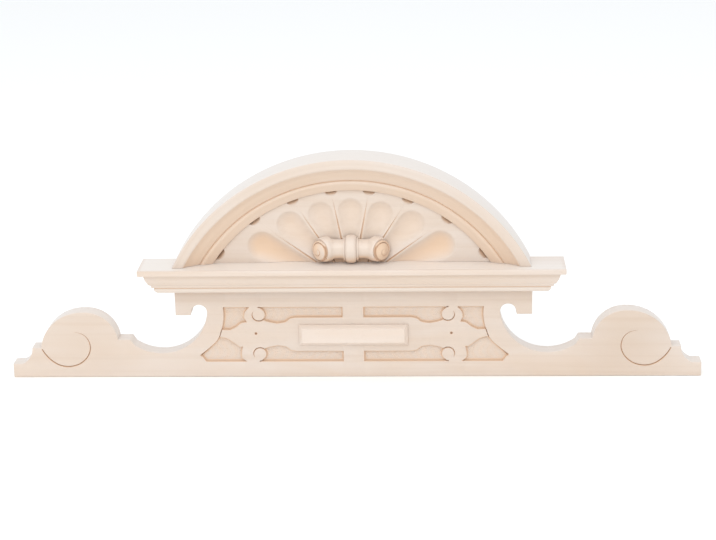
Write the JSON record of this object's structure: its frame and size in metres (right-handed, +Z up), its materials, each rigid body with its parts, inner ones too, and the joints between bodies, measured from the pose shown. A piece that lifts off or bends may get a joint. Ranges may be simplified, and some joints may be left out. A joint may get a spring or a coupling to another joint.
{
  "type": "cabinet crest",
  "caption": "Carved bare-wood crest for the top of a cabinet: segmental arch hood over a shell, mitred cornice, strapwork board with scrolled wings.",
  "frame": {"origin": "middle of the crest board's bottom edge, halfway through its thickness, on the seat face", "axes": "+X along the crest to its right end, -Y out of its carved front, +Z up"},
  "size_m": [1, 0.0685, 0.3335],
  "materials": {
    "board_wood": "bare, finely sanded pale wood, matt",
    "moulding_wood": "bare, finely sanded pale wood, matt",
    "carving_wood": "bare pale wood left from the gouge, matt"
  },
  "bodies": {
    "root": {"crest_board": "board_wood", "tablet": "board_wood", "cornice": "moulding_wood", "arch_hood": "moulding_wood", "shell_panel": "carving_wood", "scroll_bolster": "carving_wood"}
  },
  "joints": []
}
